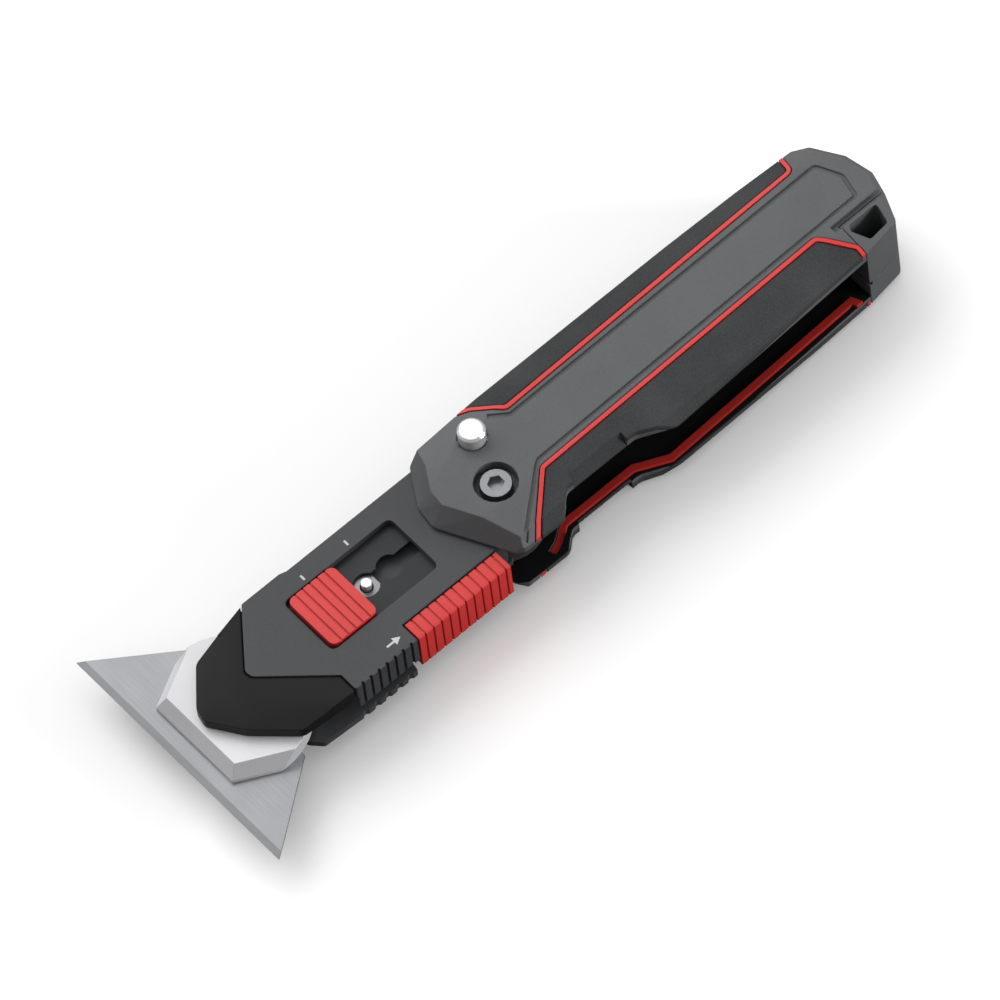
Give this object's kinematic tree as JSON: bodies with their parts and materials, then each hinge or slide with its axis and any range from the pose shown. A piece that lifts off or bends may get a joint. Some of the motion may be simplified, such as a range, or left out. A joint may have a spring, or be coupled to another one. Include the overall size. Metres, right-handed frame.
{
  "type": "scraper utility knife",
  "caption": "Folding scraper knife: a trapezoid blade in a turning, sliding holder on a carrier that folds into a slotted handle, freed by a lock button.",
  "frame": {"origin": "bottom centre of the opened knife lying on the flat back of its handle", "axes": "+X from the blade toward the handle's tail, +Y toward the spine, +Z out of the front face"},
  "size_m": [0.1838, 0.061, 0.0255],
  "materials": {
    "shell": "satin dark grey paint",
    "carrier": "satin dark grey paint",
    "grip": "fine grain",
    "red": "satin",
    "black": "satin",
    "satin_metal": "bead blasted",
    "steel": "brushed",
    "bright_steel": "polished",
    "dark_steel": "blackened"
  },
  "bodies": {
    "handle": {"front_scale": "shell", "rear_scale": "shell", "front_lanyard_eye": "shell", "rear_lanyard_eye": "shell", "front_belly_grip": "grip", "rear_belly_grip": "grip", "front_spine_grip": "grip", "rear_spine_grip": "grip", "front_belly_trim": "red", "rear_belly_trim": "red", "front_spine_trim": "red", "rear_spine_trim": "red", "slot_liner": "red", "tail_screw_1": "dark_steel", "tail_screw_2": "dark_steel", "pivot_bolt": "steel", "pivot_nut": "steel", "front_washer": "bright_steel", "rear_washer": "bright_steel", "lock_spring": "steel"},
    "lock": {"lock_button": "bright_steel"},
    "carrier": {"carrier_front": "carrier", "carrier_spacer": "carrier", "carrier_rear": "carrier", "carrier_screw_1": "dark_steel", "carrier_screw_2": "dark_steel", "carrier_screw_3": "dark_steel", "nose_cover": "black", "nose_screw_1": "dark_steel", "nose_screw_2": "dark_steel", "detent_plate": "dark_steel", "latch_spring": "steel"},
    "latch": {"rotate_slide": "red", "latch_bar": "carrier"},
    "carriage": {"carriage_plate": "steel", "slider_button": "red", "guide_pin": "bright_steel", "holder_rivet": "steel"},
    "holder": {"blade_holder": "satin_metal", "blade": "steel", "holder_clamp": "steel", "clamp_screw": "dark_steel"}
  },
  "joints": [
    {"name": "fold", "type": "hinge", "parent": "handle", "child": "carrier", "pos_m": [-0.00941, -0.0026, 0.0112], "axis": [0, 0, 1], "range_deg": [0, 180]},
    {"name": "lock_press", "type": "slide", "parent": "handle", "child": "lock", "axis": [0, 0, -1], "range_m": [0, 0.002], "stiffness_N_per_m": 600, "deforming": ["lock_spring"]},
    {"name": "blade_slide", "type": "slide", "parent": "carrier", "child": "carriage", "axis": [1, 0, 0], "range_m": [0, 0.0114]},
    {"name": "blade_turn", "type": "hinge", "parent": "carriage", "child": "holder", "pos_m": [-0.07741, 0, 0.0112], "axis": [0, 0, 1], "range_deg": [0, 90]},
    {"name": "latch_slide", "type": "slide", "parent": "carrier", "child": "latch", "axis": [1, 0, 0], "range_m": [0, 0.003], "stiffness_N_per_m": 300, "deforming": ["latch_spring"]}
  ]
}
